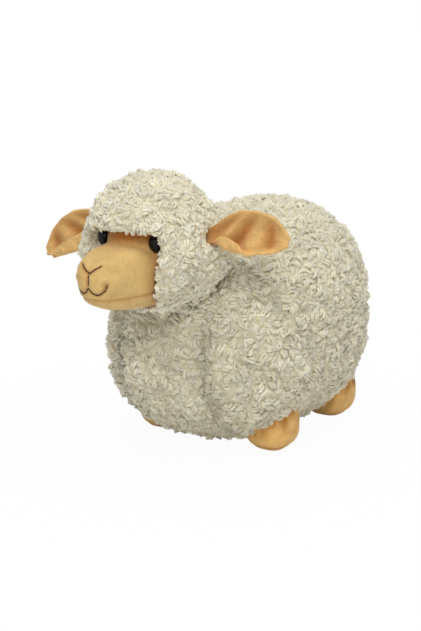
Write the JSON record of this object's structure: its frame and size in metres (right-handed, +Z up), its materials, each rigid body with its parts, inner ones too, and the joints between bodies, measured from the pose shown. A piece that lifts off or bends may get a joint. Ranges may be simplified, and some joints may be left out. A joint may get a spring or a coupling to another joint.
{
  "type": "plush sheep",
  "caption": "Stuffed toy sheep in curly cream fleece with an apricot velour face, folded floppy ears and short round feet; the head turns and nods.",
  "frame": {"origin": "on the floor under the middle of the whole sheep", "axes": "-Y is where the sheep looks, +X is its left side, +Z is up"},
  "size_m": [0.2285, 0.3277, 0.2324],
  "materials": {
    "fleece": "curly cream sherpa fleece",
    "velour": "short-pile apricot velour",
    "stuffing": "white polyester fibre filling",
    "thread": "dark brown embroidery thread",
    "eye": "glossy black safety eye",
    "washer": "white moulded washer"
  },
  "bodies": {
    "torso": {"torso_stuffing": "stuffing", "chest_panel": "fleece", "belly_panel": "fleece", "side_panel_left": "fleece", "side_panel_right": "fleece", "front_left_foot_cover": "velour", "front_left_foot_sole": "velour", "front_left_foot_stuffing": "stuffing", "front_right_foot_cover": "velour", "front_right_foot_sole": "velour", "front_right_foot_stuffing": "stuffing", "rear_left_foot_cover": "velour", "rear_left_foot_sole": "velour", "rear_left_foot_stuffing": "stuffing", "rear_right_foot_cover": "velour", "rear_right_foot_sole": "velour", "rear_right_foot_stuffing": "stuffing"},
    "neck": {"neck_stuffing": "stuffing"},
    "head": {"head_stuffing": "stuffing", "face_panel": "velour", "chin_panel": "velour", "crown_panel": "fleece", "cheek_panel_left": "fleece", "cheek_panel_right": "fleece", "eye_left": "eye", "eye_right": "eye", "eye_washer_left": "washer", "eye_washer_right": "washer", "nose_thread": "thread", "lip_thread": "thread", "mouth_thread": "thread"},
    "ear_left": {"ear_left_front": "velour", "ear_left_back": "velour"},
    "ear_right": {"ear_right_front": "velour", "ear_right_back": "velour"}
  },
  "joints": [
    {"name": "head_turn", "type": "hinge", "parent": "torso", "child": "neck", "pos_m": [-0.001, -0.07885, 0.17772], "axis": [0, 0, 1], "range_deg": [-10, 10], "stiffness_Nm_per_rad": 1.6},
    {"name": "head_nod", "type": "hinge", "parent": "neck", "child": "head", "pos_m": [-0.001, -0.07885, 0.17772], "axis": [1, 0, 0], "range_deg": [-8, 8], "stiffness_Nm_per_rad": 1.6},
    {"name": "ear_left_flap", "type": "hinge", "parent": "head", "child": "ear_left", "pos_m": [0.05018, -0.07685, 0.18672], "axis": [0, 1, 0], "range_deg": [-30, 30], "stiffness_Nm_per_rad": 0.02},
    {"name": "ear_right_flap", "type": "hinge", "parent": "head", "child": "ear_right", "pos_m": [-0.05218, -0.07685, 0.18672], "axis": [0, 1, 0], "range_deg": [-25, 30], "stiffness_Nm_per_rad": 0.02}
  ]
}
